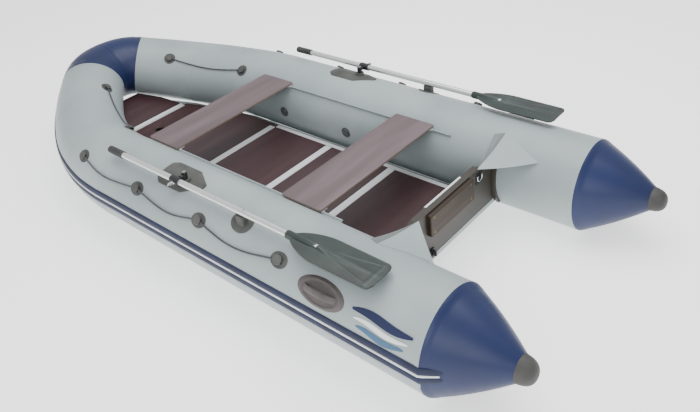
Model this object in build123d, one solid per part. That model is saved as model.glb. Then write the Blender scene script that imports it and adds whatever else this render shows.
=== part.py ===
from build123d import *
import math
import os

# Inflatable dinghy with a sectional plywood floor, two sliding seats and two stowed oars.
# Frame: X aft, Y to starboard, Z up. The tubes and the keel guard stand on Z = 0.
# The starboard half is modelled and mirrored. Millimetres.

# Tubes
LENGTH = 3600.0            # overall, bow strake to cone tips
TUBE_R = 220.0             # side tube radius
TUBE_Y = 585.0             # side tube axis, either side of the centre plane
SKIN = 1.2                 # PVC-coated fabric
CONE_LENGTH = 335.0        # stern cone with its end cap
CONE_LIFT = 25.0           # how far the cone tip rises above the tube axis
CAP_LENGTH = 62.0
CAP_R = 55.0
NOSE_R = 190.0             # tube radius at the bow
NOSE_HALF = 181.0          # half width of the blue nose piece
NOSE_ADVANCE = 76.0        # how far the nose bulges ahead of its seams
NOSE_Z = 362.0             # height of the tube axis at the very bow
SEAM_Z = 345.0             # height of the tube axis at the nose seams
BEND_RUN = 965.0           # length over which each side bends in to the nose
BEND_HANDLE_AFT = 330.0    # how straight the bend leaves the side tube
BEND_HANDLE_FORE = 450.0   # how straight it arrives at the nose
NOSE_HANDLE = 68.0
SEAM_HEADING = 44.4        # degrees, inwards
SEAM_PITCH = 14.0          # degrees, upwards
GLUE = 0.3                 # glue line under every bonded piece
BAFFLE_BACK = 860.0        # side bulkheads, aft of the bends

# Rub strake
STRAKE_ANGLE = 0.0         # degrees above the widest line of the tube
STRAKE_WIDTH = 95.0
STRAKE_H = 7.0
STRAKE_RIDGE = 9.0
STRAKE_BASE = 1.3          # underside of the strip, over the skin
STRAKE_ON_CONE = 75.0      # how far it runs on to the stern cone

# Transom
TRANSOM_SET_IN = 398.0     # aft face, ahead of the stern cones
TRANSOM_T = 36.0
TRANSOM_TOP = 365.0
TRANSOM_BOTTOM = 108.0
TRANSOM_FLAT = 245.0       # half width of the level top edge
TRANSOM_SHOULDER = 300.0   # height where the sloped shoulders meet the holders
HOLDER_T = 3.0
HOLDER_RIB = 16.0
PAD_W = 345.0
PAD_H = 112.0
PAD_T = 20.0
PAD_Z = 300.0
PLATE_W = 280.0
PLATE_H = 70.0
PLATE_T = 2.0
SCREW_R = 4.0
SCREW_HEAD_R = 6.8
SCREW_SINK = 0.6           # heads below the pad's face

# Floor
FLOOR_TOP = 122.0
BOARD_T = 12.0
BOARD_GAP = 52.0           # board edge to tube
FLOOR_JOINTS = [550.0, 997.0, 1456.0, 2203.0]   # cross joints, ahead of the transom's fore face
BOW_BOARD = 292.0
BOW_BOARD_TIP = 72.0       # half width at its fore edge
BOW_BOARD_PITCH = 16.0
PROFILE_WALL = 2.0
PROFILE_FLANGE = 21.0
PROFILE_CLEAR = 0.3
STRINGER_LIP = 24.0
STRINGER_AFT = 205.0       # end of the stringers, ahead of the transom
AFT_BOARD_GAP = 12.0
VALVE_HOLE_R = 30.0
VALVE_HOLE_AHEAD = 130.0   # keel valve hole, aft of the first cross joint

# Keel and bottom
KEEL_WALL = 1.0
KEEL_AFT = 385.0           # keel end, ahead of the transom
GUARD_T = 3.0
GUARD_W = 60.0

# Seats
SEAT_DEPTH = 242.0
SEAT_T = 12.0
SEAT_ANGLE = 138.0         # degrees round the tube from its outboard side
SEAT_GAP = 5.5             # board end to tube
FRONT_SEAT_BACK = 4.0      # fore edge, aft of the bends
REAR_SEAT_AHEAD = 617.0    # fore edge, ahead of the transom's aft face
RAIL_END = 267.0           # rails end, ahead of the transom's aft face
RAIL_W = 50.0
RAIL_T = 1.5
BEAD_R = 4.0
BEAD_OFF = 12.0
BEAD_CLEAR = 0.4
SLIDE_WALL = 3.0

# Oars and rowlocks
OAR_OUT = 105.0            # oars, outboard of the tube axis
OAR_OVER = 28.0            # oars, over the tube tops
PIN_BACK = 595.0           # rowlock pins, aft of the bends
PIN_IN = 50.0              # rowlock pins, inboard of the oars
PIN_R = 6.0
PIN_CLEAR = 0.06
SHAFT_R = 15.0
SHAFT_WALL = 1.5
OAR_FORE = -540.0          # from the rowlock pin
OAR_JOINT = 525.0
OAR_TIP = 1205.0
SPIGOT = 130.0
SPIGOT_CLEAR = 0.2
BUTTON_BACK = 60.0         # snap button, ahead of the shaft joint
BUTTON_R = 4.0
BUTTON_CLEAR = 0.3
BUTTON_TRAVEL = 4.0
GRIP_LENGTH = 117.0
GRIP_R = 18.5
COLLAR_R = 20.0
COLLAR_LENGTH = 58.0
BOLT_R = 4.0
BOLT_CLEAR = 0.06
BLADE_SOCKET = 480.0       # socket length plus blade, back from the tip
BLADE_LENGTH = 430.0
BLADE_HALF = 82.0
BLADE_T = 5.0
ROWLOCK_PAD_ANGLE = 79.0
SADDLE_BACK = 445.0        # saddle, aft of the rowlock pin

# Lines and small rubber fittings; places along the boat are aft of the bends
ROPE_R = 4.0
FITTING_BACK = [-159.0, 334.0, 803.0, 1309.0]
FITTING_ANGLES = [45.0, 41.0, 41.0, 43.0]
EYE_BACK = [-786.0, -225.0]
EYE_ANGLE = 134.0
HANDLE_AHEAD = 473.0       # carry handle, ahead of the stern cones
HANDLE_ANGLE = 32.5
VALVE_BACK = [208.0, 694.0]

# Places worked out from the sizes above
STERN_X = LENGTH / 2 - CONE_LENGTH
NOSE_X = -LENGTH / 2 + NOSE_R + STRAKE_RIDGE
SEAM_X = NOSE_X + NOSE_ADVANCE
BEND_X = SEAM_X + BEND_RUN
TRANSOM_AFT = STERN_X - TRANSOM_SET_IN
TRANSOM_FORE = TRANSOM_AFT - TRANSOM_T
RAIL_FORE = BEND_X
RAIL_AFT = TRANSOM_AFT - RAIL_END
OAR_Y = TUBE_Y + OAR_OUT
OAR_Z = 2 * TUBE_R + OAR_OVER
PIN_X = BEND_X + PIN_BACK
PIN_Y = OAR_Y - PIN_IN
FLOOR_Z = FLOOR_TOP - BOARD_T
FABRIC_Z = GUARD_T + 0.2
KEEL_R = (FLOOR_Z - PROFILE_WALL - 1.0 - FABRIC_Z - SKIN) / 2


def polar(angle):
    """Outboard and up parts of a direction round the tube."""
    return math.cos(math.radians(angle)), math.sin(math.radians(angle))


def bezier(points, t):
    """Point and unit tangent on a cubic curve."""
    a, b, c, d = points
    s = 1 - t
    point = a * s**3 + b * (3 * s * s * t) + c * (3 * s * t * t) + d * t**3
    slope = (b - a) * (s * s) + (c - b) * (2 * s * t) + (d - c) * (t * t)
    return point, slope.normalized()


heading = math.radians(SEAM_HEADING)
pitch = math.radians(SEAM_PITCH)
SEAM_DIR = Vector(
    -math.cos(heading) * math.cos(pitch),
    -math.sin(heading) * math.cos(pitch),
    math.sin(pitch),
)
SEAM = Vector(SEAM_X, NOSE_HALF, SEAM_Z)
BEND = [
    Vector(BEND_X, TUBE_Y, TUBE_R),
    Vector(BEND_X - BEND_HANDLE_AFT, TUBE_Y, TUBE_R),
    SEAM - SEAM_DIR * BEND_HANDLE_FORE,
    SEAM,
]
NOSE = [
    SEAM,
    SEAM + SEAM_DIR * NOSE_HANDLE,
    Vector(NOSE_X, NOSE_HANDLE, NOSE_Z),
    Vector(NOSE_X, 0, NOSE_Z),
]


def bend_at(t):
    """Axis point, forward direction and radius along the starboard bend."""
    point, ahead = bezier(BEND, t)
    return point, ahead, TUBE_R + (NOSE_R - TUBE_R) * t


def nose_at(t):
    """The same along the starboard half of the nose."""
    point, ahead = bezier(NOSE, t)
    return point, ahead, NOSE_R


def stern_at(x):
    """Axis point, direction and radius of the stern cone."""
    run = LENGTH / 2 - CAP_LENGTH - STERN_X
    share = (x - STERN_X) / run
    radius = TUBE_R + (CAP_R - TUBE_R) * (0.82 * share + 0.18 * share**2) * min(1.0, share * 8) ** 0.15
    if share <= 0:
        radius = TUBE_R
    rise = CONE_LIFT * max(0.0, share)
    return Vector(x, TUBE_Y, TUBE_R + rise), Vector(-1, 0, 0), radius


def along(x):
    """Axis point, direction and radius of the starboard tube where it crosses x."""
    if x >= BEND_X:
        return Vector(x, TUBE_Y, TUBE_R), Vector(-1, 0, 0), TUBE_R
    low, high = 0.0, 1.0
    for _ in range(40):
        middle = (low + high) / 2
        if bend_at(middle)[0].X > x:
            low = middle
        else:
            high = middle
    return bend_at(low)


def surface(station, angle, off=0.0):
    """Plane on the tube skin: X aft along the tube, Z outwards."""
    point, ahead, radius = station
    outboard = Vector(ahead.Y, -ahead.X, 0).normalized()
    up = ahead.cross(outboard) * -1
    if up.Z < 0:
        up = up * -1
    c, s = polar(angle)
    normal = outboard * c + up * s
    return Plane(origin=point + normal * (radius + off), x_dir=ahead * -1, z_dir=normal)


def ring(station, off):
    """Disc across the tube."""
    point, ahead, radius = station
    return Plane(origin=point, x_dir=Vector(0, 0, 1), z_dir=ahead) * Circle(radius + off)


def tube_run(stations, off):
    return loft([ring(s, off) for s in stations])


def skin(stations):
    return tube_run(stations, 0.0) - tube_run(stations, -SKIN)


def steps(first, last, count):
    return [first + (last - first) * i / count for i in range(count + 1)]


def port(piece):
    return mirror(piece, about=Plane.XZ)


def both(piece):
    return solids(piece) + solids(port(piece))


def solids(piece):
    return list(piece.solids())


def straight_tube(off, fore=BEND_X - 60, aft=STERN_X):
    plane = Plane(origin=(fore, TUBE_Y, TUBE_R), x_dir=(0, 1, 0), z_dir=(1, 0, 0))
    return extrude(plane * Circle(TUBE_R + off), aft - fore)


bend_cache = {}


def bent_tube(off):
    if off not in bend_cache:
        bend_cache[off] = tube_run([bend_at(t) for t in steps(0, 1, 9)], off)
    return bend_cache[off]


def hug(blank, thickness, bent):
    """Trim a blank to a sheet of the given thickness on the tube skin."""
    grow = bent_tube if bent else straight_tube
    return (blank & grow(GLUE + thickness)) - grow(GLUE)


def seat_on_tube(blank, bent):
    """Trim only the underside of a blank to the tube skin."""
    return blank - (bent_tube if bent else straight_tube)(GLUE)


def slab(plane, outline, low, high):
    """Outline on a plane, thickened from low to high along its normal."""
    return extrude(plane.offset(low) * outline, high - low, dir=plane.z_dir)


def tube_side(x, z):
    """Half width of the clear space between the tubes at one place."""
    point, ahead, radius = along(x)
    drop = min(abs(point.Z - z), radius * 0.98)
    return point.Y - math.sqrt(radius**2 - drop**2) / max(0.5, abs(ahead.X))


parts = {}


def add(name, *pieces):
    found = []
    for piece in pieces:
        found += piece if isinstance(piece, list) else solids(piece)
    parts[name] = found


# ---- Tubes: glued panels of coated fabric ----
bend_panels = []
for first in (0, 1, 2):
    span = steps(first / 3, (first + 1) / 3, 4)
    bend_panels += solids(skin([bend_at(t) for t in span]))
side_panel = straight_tube(0, BEND_X) - straight_tube(-SKIN, BEND_X)
starboard_panels = solids(side_panel) + bend_panels
add("starboard_tube", starboard_panels)
add("port_tube", [s for p in starboard_panels for s in solids(port(p))])

nose_panels = []
for first in (0, 1):
    nose_panels += both(skin([nose_at(t) for t in steps(first / 2, (first + 1) / 2, 4)]))
add("bow_nose", nose_panels)

cone_end = LENGTH / 2 - CAP_LENGTH
cone_rings = [stern_at(x) for x in steps(STERN_X, cone_end, 6)]
add("stern_cones", both(skin(cone_rings)))

cap_axis = Plane(origin=stern_at(cone_end)[0] + Vector(GLUE, 0, 0), x_dir=(0, 0, 1), z_dir=(1, 0, 0))
cap_wall = 4.0
cap_run = CAP_LENGTH - GLUE
cap_outer = Spline((CAP_R, 0), (CAP_R * 0.86, cap_run * 0.55), (0, cap_run), tangents=[(-0.15, 1), (-1, 0)])
cap_face = make_face([*cap_outer.edges(), Line((0, cap_run), (0, 0)), Line((0, 0), (CAP_R, 0))])
cap_full = revolve(Plane.XZ * cap_face, Axis.Z)
cap_hollow = Pos(0, 0, -0.01) * Cone(CAP_R - cap_wall, CAP_R * 0.35, cap_run * 0.6, align=(Align.CENTER, Align.CENTER, Align.MIN))
add("cone_end_caps", both(cap_axis.location * (cap_full - cap_hollow)))

baffle = Plane(origin=(BEND_X + BAFFLE_BACK, TUBE_Y, TUBE_R), x_dir=(0, 1, 0), z_dir=(1, 0, 0))
side_baffle = extrude(baffle * Circle(TUBE_R - SKIN - GLUE), SKIN)
bow_baffle = Plane(origin=(NOSE_X, -SKIN / 2, NOSE_Z), x_dir=(0, 0, 1), z_dir=(0, 1, 0))
add("chamber_baffles", both(side_baffle), extrude(bow_baffle * Circle(NOSE_R - SKIN - 1.0), SKIN))


# ---- Rub strake: one moulded strip from the bow to each stern cone ----
half_turn = math.degrees(STRAKE_WIDTH / 2 / TUBE_R)
STRAKE_PROFILE = [
    (-1.0, 2.0), (-0.72, STRAKE_H), (-0.38, STRAKE_H), (-0.2, 3.5), (-0.13, STRAKE_RIDGE),
    (0.13, STRAKE_RIDGE), (0.2, 3.5), (0.38, STRAKE_H), (0.72, STRAKE_H), (1.0, 2.0),
    (1.0, STRAKE_BASE), (0.5, STRAKE_BASE), (0.0, STRAKE_BASE), (-0.5, STRAKE_BASE), (-1.0, STRAKE_BASE),
]


def strake_section(station, width=1.0, height=1.0):
    points = []
    for turn, rise in STRAKE_PROFILE:
        lift = STRAKE_BASE + (rise - STRAKE_BASE) * height
        points.append(surface(station, STRAKE_ANGLE + turn * half_turn * width, lift).origin)
    return Face(Wire.make_polygon(points))


strake_bend = loft([strake_section(bend_at(t)) for t in steps(0, 1, 9)])
strake_nose = loft([strake_section(nose_at(t)) for t in steps(0, 1, 6)])
strake_side = loft([strake_section(along(x)) for x in (STERN_X, BEND_X)], ruled=True)
cone_steps = steps(STERN_X, STERN_X + STRAKE_ON_CONE, 3)
strake_cone = loft([strake_section(stern_at(x), 1 - 0.08 * i, 1 - 0.2 * i) for i, x in enumerate(cone_steps)])
add("rub_strakes", both(strake_side), both(strake_bend), both(strake_nose), both(strake_cone))


# ---- Bottom: fabric panels, inflatable keel and its guard ----
HULL_STATIONS = [
    (TRANSOM_FORE - HOLDER_RIB - 2, TRANSOM_BOTTOM - 2, TRANSOM_BOTTOM - 2),
    (TRANSOM_AFT - 367, 66.0, FABRIC_Z),
    (BEND_X - 140, 66.0, FABRIC_Z),
    (SEAM_X + 375, 96.0, 34.0),
    (SEAM_X + 72, 180.0, 172.0),
]
EDGE_GAP = 5.0


def fabric_section(station, side):
    x, edge_z, keel_z = station
    y = (tube_side(x, edge_z) - EDGE_GAP) * side
    low = [Vector(x, 0, keel_z), Vector(x, y, edge_z)]
    high = [p + Vector(0, 0, SKIN) for p in reversed(low)]
    return Face(Wire.make_polygon(low + high))


fabric_panels = []
for fore, aft in zip(HULL_STATIONS[1:], HULL_STATIONS):
    for side in (1, -1):
        fabric_panels += solids(loft([fabric_section(aft, side), fabric_section(fore, side)], ruled=True))
add("bottom_fabric", fabric_panels)

keel_z = FABRIC_Z + SKIN + 0.5 + KEEL_R
keel_aft = TRANSOM_FORE - KEEL_AFT
keel_length = keel_aft - HULL_STATIONS[2][0]


def keel_solid(wall):
    r = KEEL_R - wall
    half = keel_length / 2 - KEEL_R
    body = Cylinder(r, 2 * half)
    return body + Pos(0, 0, half) * Sphere(r) + Pos(0, 0, -half) * Sphere(r)


keel_place = Pos(keel_aft - keel_length / 2, 0, keel_z) * Rot(0, 90, 0)
add("keel_tube", keel_place * (keel_solid(0) - keel_solid(KEEL_WALL)))
guard_fore = HULL_STATIONS[2][0]
guard_aft = HULL_STATIONS[1][0]
guard = Pos((guard_fore + guard_aft) / 2, 0, GUARD_T / 2) * Box(guard_aft - guard_fore, GUARD_W, GUARD_T)
add("keel_guard", guard)


# ---- Transom ----
yz = Plane(origin=(TRANSOM_FORE, 0, 0), x_dir=(0, 1, 0), z_dir=(1, 0, 0))
wide = TUBE_Y
board_outline = Polygon(
    (-TRANSOM_FLAT, TRANSOM_TOP), (TRANSOM_FLAT, TRANSOM_TOP),
    (TRANSOM_FLAT + 110, TRANSOM_SHOULDER), (wide, TRANSOM_SHOULDER - 40), (wide, TRANSOM_BOTTOM),
    (-wide, TRANSOM_BOTTOM), (-wide, TRANSOM_SHOULDER - 40), (-TRANSOM_FLAT - 110, TRANSOM_SHOULDER),
    align=None,
)
side_clear = straight_tube(HOLDER_T + GLUE * 2)
transom = slab(yz, board_outline, 0, TRANSOM_T) - side_clear - port(side_clear)

DRAIN_Y = -150.0
DRAIN_Z = 146.0
DRAIN_R = 14.0
DRAIN_BORE = 9.0
DRAIN_CLEAR = 0.1
drain_axis = Plane(origin=(TRANSOM_FORE, DRAIN_Y, DRAIN_Z), x_dir=(0, 1, 0), z_dir=(1, 0, 0))
transom -= slab(drain_axis, Circle(DRAIN_R), -1, TRANSOM_T + 1)
add("transom_board", transom)

aft_face = Plane(origin=(TRANSOM_AFT, 0, 0), x_dir=(0, 1, 0), z_dir=(1, 0, 0))
pad_outline = Pos(0, PAD_Z) * RectangleRounded(PAD_W, PAD_H, 12)
motor_pad = slab(aft_face, pad_outline, 0, PAD_T)
motor_pad = fillet(motor_pad.faces().sort_by(Axis.X)[-1].edges(), 6)
screw_spots = [Pos(sy * (PAD_W / 2 - 28), PAD_Z + sz * (PAD_H / 2 - 18)) for sy in (1, -1) for sz in (1, -1)]
screw_depth = PAD_T - SCREW_SINK
screw_seat = screw_depth - 2.4
for spot in screw_spots:
    motor_pad -= slab(aft_face, spot * Circle(SCREW_R), 0, PAD_T)
    motor_pad -= slab(aft_face, spot * Circle(SCREW_HEAD_R + 0.2), screw_seat, PAD_T)
add("motor_pad", motor_pad)
screws = []
for spot in screw_spots:
    shank = slab(aft_face, spot * Circle(SCREW_R), 0, screw_depth)
    head = slab(aft_face, spot * Circle(SCREW_HEAD_R), screw_seat, screw_depth)
    slot = slab(aft_face, spot * Rectangle(SCREW_HEAD_R * 3, 1.2), screw_depth - 1, screw_depth + 1)
    screws += solids(shank + head - slot)
add("motor_pad_screws", screws)

fore_face = Plane(origin=(TRANSOM_FORE, 0, 0), x_dir=(0, 1, 0), z_dir=(-1, 0, 0))
plate_z = TRANSOM_TOP - PLATE_H / 2 + PLATE_T
plate = slab(fore_face, Pos(0, plate_z) * RectangleRounded(PLATE_W, PLATE_H, 3), 0, PLATE_T)
if plate.bounding_box().max.Z < TRANSOM_TOP:
    plate = mirror(plate, about=Plane(origin=(0, 0, 0), z_dir=(0, 0, 1)))
lip = Pos(TRANSOM_FORE + 4 - PLATE_T / 2, 0, TRANSOM_TOP + PLATE_T / 2) * Box(8 + PLATE_T, PLATE_W - 6, PLATE_T)
add("transom_plate", plate + lip)

holder_x = [TRANSOM_FORE - HOLDER_RIB, TRANSOM_AFT + HOLDER_RIB]
holder_band = straight_tube(GLUE + 14, *holder_x) - straight_tube(GLUE, *holder_x)
holder_box = Pos((holder_x[0] + holder_x[1]) / 2, TUBE_Y - TUBE_R * 0.72, (TRANSOM_BOTTOM + TRANSOM_SHOULDER) / 2) * Box(
    200, TUBE_R, TRANSOM_SHOULDER - TRANSOM_BOTTOM + 30
)
slot_x = [TRANSOM_FORE - GLUE, TRANSOM_AFT + GLUE]
holder_slot = straight_tube(40, *slot_x) - straight_tube(GLUE + HOLDER_T, *slot_x)
add("transom_holders", both((holder_band & holder_box) - holder_slot))

# Corner gussets: fabric triangles from the transom's top corners up to and along each tube
corner = Vector(TRANSOM_AFT, TRANSOM_FLAT - 18, TRANSOM_TOP + 1.0)
top_on_tube = surface(along(TRANSOM_AFT - 12), 112.0, 3.0).origin
aft_on_tube = surface(along(TRANSOM_AFT + 208), 138.0, 3.0).origin
fore_on_tube = surface(along(TRANSOM_FORE - 62), 124.0, 3.0).origin


def cloth_triangle(points, thickness=1.5):
    lifted = Face(Wire.make_polygon(points))
    return extrude(lifted, thickness, dir=(0, 0, 1))


gusset = cloth_triangle([corner, top_on_tube, aft_on_tube]) + cloth_triangle([corner, fore_on_tube, top_on_tube])
add("transom_gussets", both(gusset - straight_tube(GLUE)))

flap_half = tube_side(TRANSOM_AFT, TRANSOM_BOTTOM + 20) - HOLDER_RIB - 6
flap = Pos(TRANSOM_AFT + GLUE + SKIN / 2, 0, TRANSOM_BOTTOM + 11) * Box(SKIN, 2 * flap_half, 22)
add("transom_flap", flap - slab(drain_axis, Circle(25), 0, 99))

RING_Y = 240.0
RING_Z = 330.0
RING_R = 19.0
RING_WIRE = 2.5
RING_CLEAR = 0.3
KEEPER_WALL = 2.2
base_plane = Plane(origin=(TRANSOM_AFT, RING_Y, RING_Z - 14), x_dir=(0, 1, 0), z_dir=(1, 0, 0))
keeper_r = RING_WIRE + RING_CLEAR + KEEPER_WALL
ring_x = TRANSOM_AFT + keeper_r + GLUE
ring_base = slab(base_plane, RectangleRounded(52, 58, 6), 0, 2)
keeper = Pos(ring_x, RING_Y, RING_Z) * Rot(90, 0, 0) * Cylinder(keeper_r, 20)
keeper += Pos(TRANSOM_AFT + 3, RING_Y, RING_Z) * Box(4, 20, 2 * keeper_r)
keeper -= Pos(ring_x, RING_Y, RING_Z) * Rot(90, 0, 0) * Cylinder(RING_WIRE + RING_CLEAR, 30)
add("tow_ring_base", ring_base + keeper)
ring_bar = Pos(ring_x, RING_Y, RING_Z) * Rot(90, 0, 0) * Cylinder(RING_WIRE, 2 * RING_R)
tow_ring = ring_bar
for side in (1, -1):
    tow_ring += Pos(ring_x, RING_Y + side * RING_R, RING_Z - 5) * Cylinder(RING_WIRE, 10)
    tow_ring += Pos(ring_x, RING_Y + side * RING_R, RING_Z) * Sphere(RING_WIRE)
arc_plane = Plane(origin=(ring_x, RING_Y + RING_R, RING_Z - 10), x_dir=(0, 1, 0), z_dir=(0, 0, -1))
arc = revolve(arc_plane * Circle(RING_WIRE), Axis((ring_x, RING_Y, RING_Z - 10), (1, 0, 0)), 180)
if arc.bounding_box().center().Z > RING_Z - 10:
    arc = revolve(arc_plane * Circle(RING_WIRE), Axis((ring_x, RING_Y, RING_Z - 10), (-1, 0, 0)), 180)
add("tow_ring", tow_ring + arc)

body_length = TRANSOM_T + 2 * GLUE
drain_body = slab(drain_axis, Circle(DRAIN_R - 0.2), -4, body_length)
drain_body += slab(drain_axis, Circle(24), body_length, body_length + 5) + slab(drain_axis, Circle(20), -7, -GLUE)
drain_body -= slab(drain_axis, Circle(DRAIN_BORE), -10, body_length + 10)
add("drain_body", drain_body)
drain_plug = slab(drain_axis, Circle(DRAIN_BORE - DRAIN_CLEAR), 6, body_length + 6)
drain_plug += slab(drain_axis, Circle(15), body_length + 5.3, body_length + 13)
drain_plug += slab(drain_axis, Rectangle(6, 22), body_length + 12, body_length + 22)
add("drain_plug", drain_plug)


# ---- Floor ----
joint_x = [TRANSOM_FORE - back for back in FLOOR_JOINTS]


def board_edge(x):
    return tube_side(x, FLOOR_Z) - BOARD_GAP


def floor_board(fore, aft):
    marks = steps(fore, aft, 4) if fore < BEND_X else [fore, aft]
    edge = [(x, board_edge(x)) for x in marks]
    outline = Polygon(*edge, *[(x, -y) for x, y in reversed(edge)], align=None)
    return slab(Plane.XY, outline, FLOOR_Z, FLOOR_TOP)


web = PROFILE_WALL / 2 + PROFILE_CLEAR
half_profile = BOARD_T / 2 + PROFILE_CLEAR + PROFILE_WALL
bow_web = web + half_profile * math.sin(math.radians(BOW_BOARD_PITCH))
pivot = Vector(joint_x[-1], 0, FLOOR_Z + BOARD_T / 2)
names = ["floorboard_aft", "floorboard_4", "floorboard_3", "floorboard_2"]
ends = [TRANSOM_FORE - AFT_BOARD_GAP - PLATE_T, *joint_x]
hole_x = joint_x[-1] + VALVE_HOLE_AHEAD
for name, aft, fore in zip(names, ends, joint_x):
    trimmed_aft = aft if name == names[0] else aft - web
    board = floor_board(fore + (bow_web if name == names[-1] else web), trimmed_aft)
    if name == names[-1]:
        board -= Pos(hole_x, -75, FLOOR_TOP) * Cylinder(VALVE_HOLE_R, 60)
    add(name, board)

incline = Pos(*pivot) * Rot(0, BOW_BOARD_PITCH, 0)
root = board_edge(joint_x[-1]) - 14
bow_outline = Polygon(
    (-bow_web, root), (-bow_web, -root), (-BOW_BOARD * 0.55, -(root + BOW_BOARD_TIP) / 2 - 14), (-BOW_BOARD, -BOW_BOARD_TIP),
    (-BOW_BOARD, BOW_BOARD_TIP), (-BOW_BOARD * 0.55, (root + BOW_BOARD_TIP) / 2 + 14), align=None,
)
add("floorboard_bow", incline * slab(Plane.XY, bow_outline, -BOARD_T / 2, BOARD_T / 2))


def profile_half(length, direction):
    """Half of an H profile: web and two flanges to one side."""
    gap = BOARD_T / 2 + PROFILE_CLEAR
    reach = PROFILE_FLANGE * direction
    half = Pos(reach / 2, 0, gap + PROFILE_WALL / 2) * Box(PROFILE_FLANGE, length, PROFILE_WALL)
    half += Pos(reach / 2, 0, -gap - PROFILE_WALL / 2) * Box(PROFILE_FLANGE, length, PROFILE_WALL)
    return half + Box(PROFILE_WALL, length, 2 * gap + 2 * PROFILE_WALL)


mid_z = FLOOR_Z + BOARD_T / 2
profiles = []
for x in joint_x[:-1]:
    length = 2 * (board_edge(x) - STRINGER_LIP - 3)
    whole = profile_half(length, 1) + profile_half(length, -1)
    profiles += solids(Pos(x, 0, mid_z) * whole)
bow_length = 2 * (root - 8)
bow_joint = Pos(*pivot) * profile_half(bow_length, 1) + incline * profile_half(bow_length, -1)
add("floor_joint_profiles", profiles, bow_joint)

stringer_fore = joint_x[2] + PROFILE_FLANGE + 4
stringer_aft = TRANSOM_FORE - STRINGER_AFT
edge_y = board_edge(STERN_X)
gap = BOARD_T / 2 + PROFILE_CLEAR
stringer = Box(stringer_aft - stringer_fore, STRINGER_LIP + PROFILE_WALL, 2 * (gap + PROFILE_WALL))
stringer = Pos(0, PROFILE_CLEAR + PROFILE_WALL - (STRINGER_LIP + PROFILE_WALL) / 2, 0) * stringer
stringer -= Pos(0, -STRINGER_LIP / 2 - 1 + PROFILE_CLEAR, 0) * Box(9999, STRINGER_LIP + 2, 2 * gap)
place = Pos((stringer_fore + stringer_aft) / 2, edge_y, mid_z)
add("floor_stringers", both(place * stringer))


# ---- Seats on their bead rails ----
tangent = surface(along(RAIL_AFT), SEAT_ANGLE)
rail_length = RAIL_AFT - RAIL_FORE
rail_mid = surface((Vector((RAIL_AFT + RAIL_FORE) / 2, TUBE_Y, TUBE_R), Vector(-1, 0, 0), TUBE_R), SEAT_ANGLE)
rail = hug(slab(rail_mid, Rectangle(rail_length, RAIL_W), -20, 10), RAIL_T, False)
web_plate = slab(rail_mid, Rectangle(rail_length, RAIL_T), -3, BEAD_OFF)
bead = extrude(Plane(origin=rail_mid.origin + rail_mid.z_dir * BEAD_OFF - rail_mid.x_dir * rail_length / 2,
                     z_dir=rail_mid.x_dir) * Circle(BEAD_R), rail_length)
add("seat_rails", both((rail + web_plate + bead) - straight_tube(GLUE, RAIL_FORE - 20)))

bead_centre = tangent.origin + tangent.z_dir * BEAD_OFF
seat_low = bead_centre.Z + BEAD_R + BEAD_CLEAR + SLIDE_WALL + 1.5
seat_half = tube_side(STERN_X, seat_low) - SEAT_GAP


def seat_slide(fore):
    """Extrusion that grips the rail's bead, open towards the tube."""
    origin = Vector(fore, bead_centre.Y, bead_centre.Z)
    across = Plane(origin=origin, x_dir=tangent.z_dir, z_dir=(1, 0, 0))
    sleeve = extrude(across * Circle(BEAD_R + BEAD_CLEAR + SLIDE_WALL), SEAT_DEPTH)
    table = Pos(fore + SEAT_DEPTH / 2, bead_centre.Y - 9, seat_low - 1.5) * Box(SEAT_DEPTH, 34, 3)
    neck = Pos(fore + SEAT_DEPTH / 2, bead_centre.Y - 3, seat_low - 4) * Box(SEAT_DEPTH, 8, 6)
    bore = extrude(across * Circle(BEAD_R + BEAD_CLEAR), SEAT_DEPTH)
    mouth = extrude(across * Pos(-12, 0) * Rectangle(24, 2 * (RAIL_T / 2 + 1.0)), SEAT_DEPTH)
    return sleeve + table + neck - bore - mouth


for name, fore in (("front", BEND_X + FRONT_SEAT_BACK), ("rear", TRANSOM_AFT - REAR_SEAT_AHEAD)):
    add(f"{name}_seat_slides", both(seat_slide(fore)))
    outline = Pos(fore + SEAT_DEPTH / 2, 0) * RectangleRounded(SEAT_DEPTH, 2 * seat_half, 14)
    board = slab(Plane.XY, outline, seat_low, seat_low + SEAT_T)
    add(f"{name}_seat_board", fillet(board.edges().filter_by(Axis.Y), 3))


# ---- Rowlocks, oar saddles ----
pad_x = PIN_X - 25
pad_plane = surface(along(pad_x), ROWLOCK_PAD_ANGLE)
pad_shape = Polygon((-150, -52), (-150, 52), (-120, 74), (40, 74), (150, 12), (150, -12), (40, -74), (-120, -74), align=None)
pad_shape = fillet(pad_shape.vertices(), 14)
rowlock_pad = hug(slab(pad_plane, pad_shape, -40, 20), 5.0, False)
boss = Pos(PIN_X, PIN_Y, TUBE_R + TUBE_R * 0.8) * Cylinder(24, 130)
boss = seat_on_tube(boss, False) & Pos(PIN_X, PIN_Y, 0) * Box(80, 80, 2 * (OAR_Z - 17))
rowlock_pad += boss
pin_hole = Pos(PIN_X, PIN_Y, OAR_Z - 17) * Cylinder(PIN_R, 24)
rowlock_pad -= pin_hole
add("rowlock_pads", both(seat_on_tube(rowlock_pad, False)))

stand = Pos(PIN_X, PIN_Y, 0)
low_pin = OAR_Z - 26
swivel_low = OAR_Z - 16.5
swivel_top = OAR_Z + 16
pin = Pos(0, 0, low_pin) * extrude(Circle(PIN_R), swivel_top + 0.4 - low_pin)
pin += Pos(0, 0, swivel_top + 0.4) * extrude(Circle(10), 4)
add("rowlock_pins", both(stand * pin))

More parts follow.
